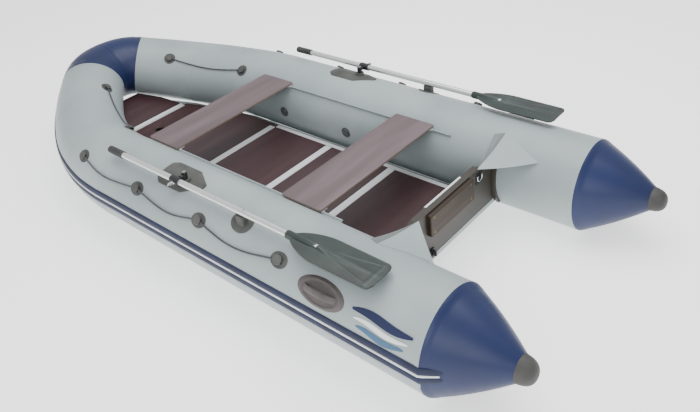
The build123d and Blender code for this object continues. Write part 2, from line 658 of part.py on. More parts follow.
saddle_x = PIN_X + SADDLE_BACK
saddle_angle = math.degrees(math.acos((OAR_Y - TUBE_Y) / TUBE_R))
saddle_plane = surface(along(saddle_x), saddle_angle)
saddle = hug(slab(saddle_plane, Ellipse(62, 50), -30, 20), 4.0, False)
block = seat_on_tube(Pos(saddle_x, OAR_Y, TUBE_R * 1.8) * extrude(RectangleRounded(48, 40, 10), 999, both=True), False)
block = block & Pos(saddle_x, OAR_Y, TUBE_R + TUBE_R / 2) * Box(200, 200, 2 * (OAR_Z - SHAFT_R - 0.6 - TUBE_R * 1.5))
add("oar_saddles", both(saddle + block))


# ---- Oars ----
def bar(x0, x1, radius, hollow=0.0):
    """Round bar or tube along the oar, measured from the rowlock pin."""
    plane = Plane(origin=(PIN_X + x0, OAR_Y, OAR_Z), x_dir=(0, 1, 0), z_dir=(1, 0, 0))
    whole = extrude(plane * Circle(radius), x1 - x0)
    return whole - extrude(plane * Circle(hollow), x1 - x0) if hollow else whole


oar_axis = Plane(origin=(PIN_X, 0, OAR_Z), x_dir=(1, 0, 0), z_dir=(0, 1, 0))
cross_hole = extrude(oar_axis.offset(OAR_Y - 60) * Circle(BOLT_R + BOLT_CLEAR), 120)
button_x = OAR_JOINT - BUTTON_BACK
button_hole = Pos(PIN_X + button_x, OAR_Y, OAR_Z) * extrude(Circle(BUTTON_R + BUTTON_CLEAR), 30)
end_wall = 6.0
inner = SHAFT_R - SHAFT_WALL
spigot_r = inner - SPIGOT_CLEAR
socket_x = OAR_TIP - BLADE_SOCKET
blade_x = OAR_TIP - BLADE_LENGTH

grip = bar(OAR_FORE, OAR_FORE + GRIP_LENGTH, GRIP_R) - bar(OAR_FORE + end_wall, OAR_FORE + GRIP_LENGTH + 1, SHAFT_R)
grip = fillet(grip.edges().filter_by(GeomType.CIRCLE).sort_by(Axis.X)[0], 5)
for i in range(5):
    groove = bar(OAR_FORE + 25 + 17 * i, OAR_FORE + 30 + 17 * i, GRIP_R + 2, GRIP_R - 1.0)
    grip -= groove
upper = bar(OAR_FORE + end_wall, OAR_JOINT, SHAFT_R, inner) - cross_hole - button_hole
lower = bar(OAR_JOINT + 0.3, blade_x + 120, SHAFT_R, inner)
lower += bar(OAR_JOINT - SPIGOT, OAR_JOINT + 0.4, spigot_r, spigot_r - 1.5)
lower += bar(OAR_JOINT + 0.3, OAR_JOINT + 4.3, SHAFT_R, spigot_r - 1.5)
lower -= button_hole
collar = bar(-COLLAR_LENGTH / 2, COLLAR_LENGTH / 2, COLLAR_R, SHAFT_R) - cross_hole

blade_half = [
    (socket_x + 30, SHAFT_R + 2), (blade_x + 40, 46), (blade_x + 120, 70), (blade_x + 220, BLADE_HALF),
    (OAR_TIP - 24, BLADE_HALF), (OAR_TIP, BLADE_HALF - 22),
]
blade_outline = Polygon(*blade_half, *[(x, -y) for x, y in reversed(blade_half)], align=None)
blade_outline = fillet(blade_outline.vertices().filter_by(lambda v: v.X > blade_x + 10), 12)
blade_plane = Plane(origin=(PIN_X, OAR_Y, OAR_Z), x_dir=(1, 0, 0), z_dir=(0, 0, 1))
blade = slab(blade_plane, blade_outline, -BLADE_T / 2, BLADE_T / 2)
blade += bar(socket_x, blade_x + 130, SHAFT_R + 4)
rib_run = BLADE_LENGTH - 170
rib_end = Plane(origin=(PIN_X + blade_x + 130, OAR_Y, OAR_Z), x_dir=(0, 1, 0), z_dir=(1, 0, 0))
blade += rib_end.location * Pos(0, 0, rib_run / 2) * Cone(SHAFT_R - 3, 4, rib_run)
blade -= bar(socket_x - 1, blade_x + 120.5, SHAFT_R)

button = Pos(PIN_X + button_x, OAR_Y, OAR_Z + 6) * extrude(Circle(BUTTON_R), SHAFT_R - 3)
button = fillet(button.faces().sort_by(Axis.Z)[-1].edges(), 3)

swivel = Pos(PIN_X, PIN_Y, swivel_low) * extrude(Circle(13), swivel_top - swivel_low)
lug = extrude(oar_axis.offset(PIN_Y + 8) * Circle(10), 17)
swivel += lug
swivel -= Pos(PIN_X, PIN_Y, OAR_Z) * Cylinder(PIN_R + PIN_CLEAR, 80)
bolt_root = PIN_Y + 13
swivel -= extrude(oar_axis.offset(bolt_root) * Circle(BOLT_R), 60)
wing_y = OAR_Y + COLLAR_R + 3
bolt = extrude(oar_axis.offset(bolt_root) * Circle(BOLT_R), wing_y + 26 - bolt_root)
nut = extrude(oar_axis.offset(wing_y) * Circle(8), 12) - extrude(oar_axis.offset(wing_y - 1) * Circle(BOLT_R), 20)
wings = Polygon((6, -3), (22, -13), (27, -9), (8, 3), (-6, 3), (-22, 13), (-27, 9), (-8, -3), align=None)
nut += extrude(oar_axis.offset(wing_y + 5) * wings, 3.5) - extrude(oar_axis.offset(wing_y - 1) * Circle(BOLT_R), 20)

OAR_PIECES = {
    "oar_grip": grip,
    "oar_shaft": upper,
    "oar_lower_shaft": lower,
    "oar_blade": blade,
    "oar_collar": collar,
    "oar_button": button,
    "rowlock_swivel": swivel,
}
for name, piece in OAR_PIECES.items():
    add(f"starboard_{name}", piece)
    add(f"port_{name}", port(piece))
add("starboard_wing_bolt", bolt, nut)
add("port_wing_bolt", port(bolt), port(nut))


# ---- Lifeline fittings, bow eyes, carry handles and valves ----
TUNNEL_LOW = 3.4
TUNNEL_HIGH = 14.0
TUNNEL_WIDTH = 24.0


def line_fitting(x, angle):
    plane = surface(along(x), angle)
    bent = x < BEND_X
    base = hug(slab(plane, Ellipse(46, 34), -25, 20), 3.0, bent)
    hump = fillet(slab(plane, Ellipse(24, 21), -6, 18).faces().sort_by(Axis(plane.origin, plane.z_dir))[-1].edges(), 3)
    hump = seat_on_tube(hump, bent)
    tunnel = slab(plane, Rectangle(120, TUNNEL_WIDTH), TUNNEL_LOW, TUNNEL_HIGH)
    return (base + hump) - tunnel


def eye_fitting(x):
    plane = surface(along(x), EYE_ANGLE)
    base = hug(slab(plane, Circle(36), -25, 20), 3.0, True)
    hump = fillet(slab(plane, Circle(20), -6, 18).faces().sort_by(Axis(plane.origin, plane.z_dir))[-1].edges(), 3)
    hump = seat_on_tube(hump, True)
    tunnel = slab(plane, Rectangle(120, TUNNEL_WIDTH), TUNNEL_LOW, TUNNEL_HIGH)
    return (base + hump) - tunnel


fittings = []
for back, angle in zip(FITTING_BACK, FITTING_ANGLES):
    fittings += both(line_fitting(BEND_X + back, angle))
add("lifeline_fittings", fittings)
eyes = []
for back in EYE_BACK:
    eyes += both(eye_fitting(BEND_X + back))
add("grab_line_eyes", eyes)

handle_plane = surface(along(STERN_X - HANDLE_AHEAD), HANDLE_ANGLE)
handle_base = hug(slab(handle_plane, Ellipse(120, 60), -40, 20), 4.0, False)
grip_block = seat_on_tube(slab(handle_plane, RectangleRounded(176, 34, 12), -8, 34), False)
finger_gap = slab(handle_plane, Rectangle(124, 90), 6, 25)
add("carry_handles", both((handle_base + grip_block) - finger_gap))

valves = []
for back in VALVE_BACK:
    plane = surface(along(BEND_X + back), 180.0)
    flange = seat_on_tube(slab(plane, Circle(30), -6, 3), False)
    valves += solids(flange)
    valves += solids(slab(plane, Circle(22), 3, 9) + slab(plane, Rectangle(34, 6), 9, 13))
valves += solids(port(valves[2]) + port(valves[3]))
add("air_valves", valves)


# ---- Lines: each a round rope threaded through its fittings ----
# Route points: distance aft of the bend, degrees round the tube, height of the rope's middle over the skin.
LIFELINE = [
    (-159, 45, 9), (-86, 41, 7), (-10, 36.5, 5.8), (80, 34.5, 5.8), (168, 36, 5.8), (255, 38.5, 7),
    (334, 41, 9), (410, 37.5, 7), (498, 33.5, 5.8), (588, 31.5, 5.8), (672, 34, 5.8), (738, 38, 7),
    (803, 41, 9), (882, 37, 7), (968, 33, 5.8), (1060, 32, 5.8), (1148, 34.5, 5.8), (1230, 39, 7), (1309, 43, 9),
]
GRAB_LINE = [
    (-786, 134, 9), (-708, 138, 7), (-620, 141, 5.8), (-523, 142.5, 5.8), (-425, 141, 5.8),
    (-322, 137.5, 7), (-225, 134, 9),
]


def rope(route, name):
    """Straight runs joined by tangent arcs as large as the runs allow."""
    points = [surface(along(BEND_X + back), angle, lift).origin for back, angle, lift in route]
    radii = []
    for before, here, after in zip(points, points[1:], points[2:]):
        turn = math.radians((here - before).get_angle(after - here))
        run = min((here - before).length, (after - here).length)
        radii.append(0.45 * run / math.tan(turn / 2))
    print(name, "bend radii", [round(r) for r in radii])
    path = FilletPolyline(*points, radius=radii)
    start = Plane(origin=points[0], z_dir=points[1] - points[0])
    tube = sweep(start * Circle(ROPE_R), path=path)
    print(name, "length", round(path.length), "volume check", round(tube.volume / (path.length * math.pi * ROPE_R**2), 3))
    return tube


lifeline = rope(LIFELINE, "lifeline")
grab_line = rope(GRAB_LINE, "grab line")
add("starboard_lifeline", lifeline)
add("port_lifeline", port(lifeline))
add("starboard_grab_line", grab_line)
add("port_grab_line", port(grab_line))

os.makedirs("parts", exist_ok=True)
for name, pieces in parts.items():
    export_step(pieces[0] if len(pieces) == 1 else Compound(pieces), f"parts/{name}.step")
print(len(parts), "nodes")
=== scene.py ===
import math

import bmesh
import bpy
from mathutils import Matrix, Vector


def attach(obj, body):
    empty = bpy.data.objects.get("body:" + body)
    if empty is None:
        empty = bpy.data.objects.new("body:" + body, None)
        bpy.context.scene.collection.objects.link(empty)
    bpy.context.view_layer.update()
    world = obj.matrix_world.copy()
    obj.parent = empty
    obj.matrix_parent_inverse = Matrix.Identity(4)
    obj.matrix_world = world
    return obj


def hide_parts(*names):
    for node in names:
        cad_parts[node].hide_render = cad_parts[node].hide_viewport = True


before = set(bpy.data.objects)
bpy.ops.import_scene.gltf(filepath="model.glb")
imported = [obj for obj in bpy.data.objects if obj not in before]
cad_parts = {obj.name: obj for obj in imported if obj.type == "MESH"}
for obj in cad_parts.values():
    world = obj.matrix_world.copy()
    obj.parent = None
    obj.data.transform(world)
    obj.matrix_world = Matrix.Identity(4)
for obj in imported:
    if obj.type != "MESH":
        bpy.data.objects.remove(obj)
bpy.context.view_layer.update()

# ---- Camera -------------------------------------------------------------------------------
# Looks down on the boat from off its port quarter and from above head height, through a
# nearly normal lens. The shift sets the frame below the lens's axis.
VIEW_AZIMUTH = math.radians(44.217)
VIEW_ELEVATION = math.radians(26.410)
VIEW_ROLL = math.radians(-6.977)
CAMERA_AT = Vector((2.650, -2.246, 2.284))

lens = bpy.data.cameras.new("camera")
lens.lens = 38.42
lens.sensor_width = 36.0
lens.shift_x = 0.0175
lens.shift_y = -0.1646
camera = bpy.data.objects.new("camera", lens)
bpy.context.scene.collection.objects.link(camera)
tilt = Matrix.Rotation(math.pi / 2 - VIEW_ELEVATION, 4, "X") @ Matrix.Rotation(VIEW_ROLL, 4, "Z")
camera.matrix_world = Matrix.Translation(CAMERA_AT) @ Matrix.Rotation(VIEW_AZIMUTH, 4, "Z") @ tilt
bpy.context.scene.camera = camera


# ---- Side tubes ---------------------------------------------------------------------------
# Two air tubes of pale grey PVC-coated polyester, each one straight panel and three bent
# ones. Each panel is glued to the next, and a narrow tape covers the joint.
SIDES = {"starboard": 1, "port": -1}
TUBE_R = 0.220
TUBE_Y = 0.585
STERN_X = 1.465
BEND_X = -0.560
NOSE_R = 0.190
SEAM = Vector((-1.525, 0.181, 0.345))
SEAM_HEADING = math.radians(44.4)
SEAM_PITCH = math.radians(14.0)
BEND_HANDLE_AFT = 0.330
BEND_HANDLE_FORE = 0.450
BENT_PANELS = 3
STRAIGHT_SECTIONS = 30
BENT_SECTIONS = 14
TAPE_HALF = 0.017
TAPE_LIFT = 0.0011
TAPE_LIP = 1.06            # where the tape's step ends, in tape half widths
BULGE = 0.0016             # how far a blown-up panel swells between its joints
RING_SIDES = 96
LENGTH_STEPS = 40
MERGE_GAP = 1e-6
SHARP_ANGLE = math.radians(38)

level = math.cos(SEAM_PITCH)
SEAM_DIR = Vector((-math.cos(SEAM_HEADING) * level, -math.sin(SEAM_HEADING) * level,
                   math.sin(SEAM_PITCH)))
BEND = [Vector((BEND_X, TUBE_Y, TUBE_R)), Vector((BEND_X - BEND_HANDLE_AFT, TUBE_Y, TUBE_R)),
        SEAM - SEAM_DIR * BEND_HANDLE_FORE, SEAM]


def linear(hex_colour):
    """An sRGB hex colour as linear RGBA."""
    channels = [int(hex_colour[i:i + 2], 16) / 255 for i in (0, 2, 4)]
    return [c / 12.92 if c <= 0.04045 else ((c + 0.055) / 1.055) ** 2.4 for c in channels] + [1.0]


def feed(finish, node, inputs):
    """Sets a node's inputs to values, or links them to other nodes' outputs."""
    for name, value in inputs.items():
        if isinstance(value, bpy.types.NodeSocket):
            finish.node_tree.links.new(value, node.inputs[name])
        else:
            node.inputs[name].default_value = value


def add_node(finish, kind, inputs=None, stops=(), **settings):
    """Adds a node with its settings and inputs; stops are a ramp's (place, hex colour)."""
    made = finish.node_tree.nodes.new(kind)
    for name, value in settings.items():
        setattr(made, name, value)
    for _ in stops[2:]:
        made.color_ramp.elements.new(0.5)
    for i, (place, hex_colour) in enumerate(stops):
        made.color_ramp.elements[i].position = place
        made.color_ramp.elements[i].color = linear(hex_colour)
    feed(finish, made, inputs or {})
    return made


def new_finish(name, **shader_inputs):
    """A material on one Principled shader, with the inputs that are the same all over."""
    finish = bpy.data.materials.new(name)
    finish.use_nodes = True
    finish_with(finish, **shader_inputs)
    return finish


def finish_with(finish, **shader_inputs):
    """Feeds a finish's shader."""
    shader = finish.node_tree.nodes["Principled BSDF"]
    feed(finish, shader, {name.replace("_", " "): value for name, value in shader_inputs.items()})


def spaced(millimetres):
    """Scale of a pattern whose features lie this far apart."""
    return 1000 / millimetres


def coated_fabric(name, *stops):
    """Calendered PVC-coated polyester: satin, faintly clouded by handling, scuffed lengthwise, with
    the cloth showing through. The weave is 1 mm in life and is drawn at 5 mm, so that it just shows."""
    finish = new_finish(name, IOR=1.5, Specular_IOR_Level=0.38, Coat_Weight=0.08, Coat_Roughness=0.25)
    place = add_node(finish, "ShaderNodeTexCoord").outputs["Object"]
    drawn = add_node(finish, "ShaderNodeMapping", {
        "Vector": place, "Scale": (0.25, 1, 1)}).outputs["Vector"]
    clouds = add_node(finish, "ShaderNodeTexNoise", {"Vector": place, "Scale": spaced(455), "Detail": 4.0})
    tone = add_node(finish, "ShaderNodeValToRGB", {"Fac": clouds.outputs["Fac"]}, stops)
    scuffs = add_node(finish, "ShaderNodeTexNoise", {"Vector": drawn, "Scale": spaced(26), "Detail": 6.0})
    dull = add_node(finish, "ShaderNodeMapRange", {
        "Value": scuffs.outputs["Fac"], "To Min": 0.36, "To Max": 0.52})
    weave = add_node(finish, "ShaderNodeTexVoronoi", {
        "Vector": place, "Scale": spaced(4.8), "Randomness": 0.15})
    cloth = add_node(finish, "ShaderNodeBump", {
        "Height": weave.outputs["Distance"], "Distance": 0.00025, "Strength": 0.5})
    slack = add_node(finish, "ShaderNodeTexNoise", {"Vector": drawn, "Scale": spaced(180), "Detail": 2.0})
    pull = add_node(finish, "ShaderNodeBump", {
        "Height": slack.outputs["Fac"], "Distance": 0.0022, "Strength": 0.6,
        "Normal": cloth.outputs["Normal"]})
    finish_with(finish, Base_Color=tone.outputs["Color"], Roughness=dull.outputs["Result"],
                Normal=pull.outputs["Normal"])
    return finish


def on_curve(points, t):
    """Point and forward direction on a cubic curve."""
    a, b, c, d = points
    s = 1 - t
    point = a * s**3 + b * (3 * s * s * t) + c * (3 * s * t * t) + d * t**3
    ahead = (b - a) * (s * s) + (c - b) * (2 * s * t) + (d - c) * (t * t)
    return point, ahead.normalized()


def bend_at(t):
    """Axis point, forward direction and radius along the starboard bend."""
    point, ahead = on_curve(BEND, t)
    return point, ahead, TUBE_R + (NOSE_R - TUBE_R) * t


def side_at(x):
    """The same on the straight part of the starboard tube."""
    return Vector((x, TUBE_Y, TUBE_R)), Vector((-1, 0, 0)), TUBE_R


def across(station, swell=0.0):
    """Matrix from the unit circle to the tube's section: X outboard, Y up, Z ahead."""
    point, ahead, radius = station
    outboard = Vector((ahead.y, -ahead.x, 0)).normalized()
    up = outboard.cross(ahead)
    frame_here = Matrix((outboard, up, ahead)).transposed().to_4x4()
    return Matrix.Translation(point) @ frame_here @ Matrix.Scale(radius + swell, 4)


def sweep(bm, edges, places):
    """Carries a closed ring of edges from the first place through the rest, and caps both ends."""
    bmesh.ops.contextual_create(bm, geom=edges)
    for before, after in zip(places, places[1:]):
        grown = bmesh.ops.extrude_edge_only(bm, edges=edges)["geom"]
        edges = [g for g in grown if isinstance(g, bmesh.types.BMEdge)]
        new = [g for g in grown if isinstance(g, bmesh.types.BMVert)]
        edges = [e for e in edges if e.verts[0] in new and e.verts[1] in new]
        bmesh.ops.transform(bm, matrix=after @ before.inverted(), verts=new)
    bmesh.ops.contextual_create(bm, geom=edges)


def piece_from(bm, name, body, finish):
    """Turns a bmesh into a finished piece on a body."""
    bmesh.ops.remove_doubles(bm, verts=bm.verts, dist=MERGE_GAP)
    bmesh.ops.recalc_face_normals(bm, faces=bm.faces)
    mesh = bpy.data.meshes.new(name)
    bm.to_mesh(mesh)
    bm.free()
    mesh.shade_smooth()
    mesh.set_sharp_from_angle(angle=SHARP_ANGLE)
    mesh.materials.append(finish)
    piece = bpy.data.objects.new(name, mesh)
    bpy.context.scene.collection.objects.link(piece)
    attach(piece, body)
    return piece


def run_places(station_at, first, last, count, taped=(True, True)):
    """Section places along one panel: it bulges between its joints, and a tape stands proud at each."""
    points = [station_at(first + (last - first) * i / LENGTH_STEPS)[0] for i in range(LENGTH_STEPS + 1)]
    length = sum((after - before).length for before, after in zip(points, points[1:]))
    tape = TAPE_HALF / length
    lip = tape * TAPE_LIP
    clear = lip * 1.5
    shares = [i / count for i in range(count + 1) if clear < i / count < 1 - clear]
    marks = [(s, BULGE * math.sin(math.pi * s)) for s in shares]
    marks = [(lip, 0.0)] + marks + [(1 - lip, 0.0)]
    marks = ([(0.0, TAPE_LIFT), (tape, TAPE_LIFT)] if taped[0] else [(0.0, 0.0)]) + marks
    marks += [(1 - tape, TAPE_LIFT), (1.0, TAPE_LIFT)] if taped[1] else [(1.0, 0.0)]
    return [across(station_at(first + (last - first) * s), swell) for s, swell in marks]


def ring_of(bm, place):
    """Circle of edges across a tube."""
    ring = bmesh.ops.create_circle(bm, segments=RING_SIDES, radius=1.0, matrix=place)["verts"]
    return list({e for v in ring for e in v.link_edges})


grey_fabric = coated_fabric("grey_pvc_fabric", (0.25, "8F9A9B"), (0.55, "9DA7A8"), (0.8, "AAB3B4"))
for side_name, side in SIDES.items():
    tube = bmesh.new()
    places = run_places(side_at, STERN_X, BEND_X, STRAIGHT_SECTIONS)
    for panel in range(BENT_PANELS):
        places += run_places(bend_at, panel / BENT_PANELS, (panel + 1) / BENT_PANELS, BENT_SECTIONS)[1:]
    sweep(tube, ring_of(tube, places[0]), places)
    if side < 0:
        bmesh.ops.scale(tube, vec=(1, -1, 1), verts=tube.verts)
    skin = piece_from(tube, f"{side_name}_air_tube", "hull", grey_fabric)
    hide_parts(f"{side_name}_tube")


# ---- Bow nose and stern cones -------------------------------------------------------------
# Blue PVC fabric panels that close the tubes: a short bent nose at the bow and a cone at each
# stern, its seam taped to the grey tube. A moulded rubber cap closes each cone's tip.
NOSE_X = -1.601
NOSE_Z = 0.362
NOSE_HANDLE = 0.068
NOSE = [SEAM, SEAM + SEAM_DIR * NOSE_HANDLE,
        Vector((NOSE_X, NOSE_HANDLE, NOSE_Z)), Vector((NOSE_X, 0, NOSE_Z))]
NOSE_SECTIONS = 16
CONE_TIP_X = 1.738
CONE_TIP_R = 0.055
CONE_LIFT = 0.025          # how far the tip rises above the tube's axis
CONE_STRAIGHT = 0.82       # share of the cone's narrowing that is even, the rest gathers at the tip
CONE_SHOULDER = 8          # the shoulder takes one part in this many of the cone's length
CONE_SECTIONS = 22


def nose_at(t):
    """Axis point, forward direction and radius along the starboard half of the nose."""
    point, ahead = on_curve(NOSE, t)
    return point, ahead, NOSE_R


def mirrored(place):
    """The same section on the port side, still a turn and not a reflection."""
    return Matrix.Scale(-1, 4, Vector((0, 1, 0))) @ place @ Matrix.Scale(-1, 4, Vector((0, 0, 1)))


def cone_at(x):
    """The same along the starboard cone: a rounded shoulder, then an almost even taper."""
    share = (x - STERN_X) / (CONE_TIP_X - STERN_X)
    taper = CONE_STRAIGHT * share + (1 - CONE_STRAIGHT) * share**2
    shoulder = min(1.0, share * CONE_SHOULDER) ** 0.15 if share > 0 else 0.0
    radius = TUBE_R + (CONE_TIP_R - TUBE_R) * taper * shoulder
    return Vector((x, TUBE_Y, TUBE_R + CONE_LIFT * share)), Vector((-1, 0, 0)), radius


def moulded_rubber(name, *stops):
    """Moulded rubber: matt, mottled by weather, with a fine stipple from the mould."""
    finish = new_finish(name, Roughness=0.62, Specular_IOR_Level=0.4)
    place = add_node(finish, "ShaderNodeTexCoord").outputs["Object"]
    mottle = add_node(finish, "ShaderNodeTexNoise", {"Vector": place, "Scale": spaced(70), "Detail": 5.0})
    tone = add_node(finish, "ShaderNodeValToRGB", {"Fac": mottle.outputs["Fac"]}, stops)
    stipple = add_node(finish, "ShaderNodeTexNoise", {"Vector": place, "Scale": spaced(2.4), "Detail": 2.0})
    skin_marks = add_node(finish, "ShaderNodeBump", {
        "Height": stipple.outputs["Fac"], "Distance": 0.0004, "Strength": 0.6})
    finish_with(finish, Base_Color=tone.outputs["Color"], Normal=skin_marks.outputs["Normal"])
    return finish


def dress(finish, *node_names):
    """Gives pieces that keep their first shape a finish."""
    for node_name in node_names:
        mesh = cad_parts[node_name].data
        mesh.materials.clear()
        mesh.materials.append(finish)


blue_fabric = coated_fabric("blue_pvc_fabric", (0.25, "0E1A40"), (0.55, "13214C"), (0.8, "1A2A5B"))
nose = bmesh.new()
half_nose = run_places(nose_at, 0, 1, NOSE_SECTIONS)
nose_places = half_nose + [mirrored(place) for place in reversed(half_nose[:-1])]
sweep(nose, ring_of(nose, nose_places[0]), nose_places)
nose_skin = piece_from(nose, "bow_nose_skin", "hull", blue_fabric)
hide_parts("bow_nose")

cones = bmesh.new()
cone_places = run_places(cone_at, STERN_X, CONE_TIP_X, CONE_SECTIONS, (True, False))
sweep(cones, ring_of(cones, cone_places[0]), cone_places)
bmesh.ops.mirror(cones, geom=cones.verts[:] + cones.edges[:] + cones.faces[:], axis="Y", merge_dist=0.0)
cone_skin = piece_from(cones, "stern_cone_skins", "hull", blue_fabric)
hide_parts("stern_cones")
dress(moulded_rubber("cap_rubber", (0.3, "3A3938"), (0.7, "4B4A48")), "cone_end_caps")


# ---- Bottom fabric and keel ---------------------------------------------------------------
# A sheet of the grey fabric closes the bottom between the tubes. An inflated keel lies on it
# under the floor, and a black rubber strip guards it from the beach.
black_rubber = moulded_rubber("black_rubber", (0.3, "161617"), (0.7, "232426"))
dress(grey_fabric, "bottom_fabric", "keel_tube", "chamber_baffles")
dress(black_rubber, "keel_guard")


# ---- Transom, motor pad and tow ring ------------------------------------------------------
# An upright board of dark film-faced ply, held in ribs glued to the tubes. A hardwood pad is
# screwed on for the motor's clamp and an aluminium plate caps the edge that its jaws bite on.
PLY_LAYER = 0.003
ANY_WAY = (1, 1, 1)
ACROSS_BOAT = (1, 0.05, 1)


def film_faced_ply(name, through, plies_seen, *stops):
    """Phenolic film-faced plywood: streaked film, a wire-mesh print, sealed edges showing the plies.
    The mesh is 2 mm in life and is drawn at 5 mm; through is the axis across the plies."""
    finish = new_finish(name, Roughness=0.46, Coat_Weight=0.15, Coat_Roughness=0.4)
    place = add_node(finish, "ShaderNodeTexCoord").outputs["Object"]
    drawn = add_node(finish, "ShaderNodeMapping", {"Vector": place, "Scale": (1, 0.1, 1)})
    streaks = add_node(finish, "ShaderNodeTexNoise", {
        "Vector": drawn.outputs["Vector"], "Scale": spaced(70), "Detail": 6.0})
    film = add_node(finish, "ShaderNodeValToRGB", {"Fac": streaks.outputs["Fac"]}, stops)
    height = add_node(finish, "ShaderNodeSeparateXYZ", {"Vector": place})
    layers = add_node(finish, "ShaderNodeMath", {
        0: height.outputs[through], 1: PLY_LAYER}, operation="PINGPONG")
    depth = add_node(finish, "ShaderNodeMapRange", {
        "Value": layers.outputs["Value"], "From Max": PLY_LAYER})
    bands = add_node(finish, "ShaderNodeValToRGB", {"Fac": depth.outputs["Result"]},
                     ((0.35, plies_seen[0]), (0.65, plies_seen[1])))
    normal = add_node(finish, "ShaderNodeNewGeometry").outputs["Normal"]
    facing = add_node(finish, "ShaderNodeSeparateXYZ", {"Vector": normal})
    flat = add_node(finish, "ShaderNodeMath", {0: facing.outputs[through]}, operation="ABSOLUTE")
    face = add_node(finish, "ShaderNodeMapRange", {
        "Value": flat.outputs["Value"], "From Min": 0.3, "From Max": 0.7})
    tone = add_node(finish, "ShaderNodeMix", {
        0: face.outputs["Result"], 6: bands.outputs["Color"], 7: film.outputs["Color"]}, data_type="RGBA")
    wires = add_node(finish, "ShaderNodeTexVoronoi", {
        "Vector": place, "Scale": spaced(5.3), "Randomness": 0.0})
    print_marks = add_node(finish, "ShaderNodeBump", {
        "Height": wires.outputs["Distance"], "Distance": 0.0006, "Strength": 0.8})
    finish_with(finish, Base_Color=tone.outputs[2], Normal=print_marks.outputs["Normal"])
    return finish


def oiled_hardwood(name, *stops):
    """Oiled hardwood: dull, long grain across the boat, open pores."""
    finish = new_finish(name, Roughness=0.58)
    place = add_node(finish, "ShaderNodeTexCoord").outputs["Object"]
    drawn = add_node(finish, "ShaderNodeMapping", {
        "Vector": place, "Scale": (1, 0.08, 1)}).outputs["Vector"]
    rings = add_node(finish, "ShaderNodeTexNoise", {"Vector": drawn, "Scale": spaced(38), "Detail": 6.0})
    tone = add_node(finish, "ShaderNodeValToRGB", {"Fac": rings.outputs["Fac"]}, stops)
    pores = add_node(finish, "ShaderNodeTexNoise", {"Vector": drawn, "Scale": spaced(11), "Detail": 4.0})
    open_grain = add_node(finish, "ShaderNodeBump", {
        "Height": pores.outputs["Fac"], "Distance": 0.0008, "Strength": 0.8})
    finish_with(finish, Base_Color=tone.outputs["Color"], Normal=open_grain.outputs["Normal"])
    return finish


def brushed_metal(name, hex_colour, rough, stretch, metallic=1.0):
    """Metal with fine drawing marks, polished unevenly; an oxide skin makes it less than fully metallic."""
    finish = new_finish(name, Base_Color=linear(hex_colour), Metallic=metallic)
    place = add_node(finish, "ShaderNodeTexCoord").outputs["Object"]
    drawn = add_node(finish, "ShaderNodeMapping", {"Vector": place, "Scale": stretch})
    marks = add_node(finish, "ShaderNodeTexNoise", {
        "Vector": drawn.outputs["Vector"], "Scale": spaced(11), "Detail": 4.0})
    dull = add_node(finish, "ShaderNodeMapRange", {
        "Value": marks.outputs["Fac"], "To Min": rough - 0.1, "To Max": rough + 0.12})
    lines = add_node(finish, "ShaderNodeBump", {
        "Height": marks.outputs["Fac"], "Distance": 0.0002, "Strength": 0.4})
    finish_with(finish, Roughness=dull.outputs["Result"], Normal=lines.outputs["Normal"])
    return finish


def moulded_plastic(name, rough, *stops):
    """Injection-moulded plastic: semi-matt, faint flow mottling, a fine spark-eroded texture."""
    finish = new_finish(name, Roughness=rough, IOR=1.5)
    place = add_node(finish, "ShaderNodeTexCoord").outputs["Object"]
    flow = add_node(finish, "ShaderNodeTexNoise", {"Vector": place, "Scale": spaced(110), "Detail": 3.0})
    tone = add_node(finish, "ShaderNodeValToRGB", {"Fac": flow.outputs["Fac"]}, stops)
    texture = add_node(finish, "ShaderNodeTexNoise", {"Vector": place, "Scale": spaced(6.3), "Detail": 2.0})
    skin_marks = add_node(finish, "ShaderNodeBump", {
        "Height": texture.outputs["Fac"], "Distance": 0.0003, "Strength": 0.5})
    finish_with(finish, Base_Color=tone.outputs["Color"], Normal=skin_marks.outputs["Normal"])
    return finish


profile_metal = brushed_metal("anodised_profile", "F0F1F2", 0.4, ACROSS_BOAT, 0.5)
black_plastic = moulded_plastic("black_plastic", 0.45, (0.3, "141516"), (0.7, "1F2123"))
transom_ply = film_faced_ply("transom_ply", "X", ("352D25", "251F19"),
                             (0.3, "1D170E"), (0.55, "272015"), (0.8, "352B1E"))
holder_fabric = coated_fabric("dark_pvc_holder", (0.25, "36332F"), (0.55, "413D38"), (0.8, "4C4842"))
pad_wood = oiled_hardwood("motor_pad_wood", (0.3, "211509"), (0.55, "30200F"), (0.8, "4B3824"))
dress(transom_ply, "transom_board")
dress(holder_fabric, "transom_holders")
dress(pad_wood, "motor_pad")
dress(brushed_metal("brass_screws", "77684A", 0.45, ANY_WAY), "motor_pad_screws")
dress(brushed_metal("chrome_ring", "E9EAEC", 0.16, ANY_WAY), "tow_ring")
dress(profile_metal, "transom_plate")
dress(grey_fabric, "transom_flap")
dress(black_rubber, "tow_ring_base")
dress(black_plastic, "drain_body", "drain_plug")


# ---- Transom corner gussets ---------------------------------------------------------------
# Cut from the tube fabric: a sheet glued along the tube's shoulder and folded to the
# transom's top corner, with a smaller one running forwards.
CORNER = Vector((1.067, 0.231, 0.3675))
CLOTH_T = 0.0014
OFF_SKIN = 0.002


def on_side(x, angle, lift=0.0):
    """Point on the straight part of the starboard tube's skin."""
    turn = math.radians(angle)
    return Vector((x, TUBE_Y + (TUBE_R + lift) * math.cos(turn), TUBE_R + (TUBE_R + lift) * math.sin(turn)))


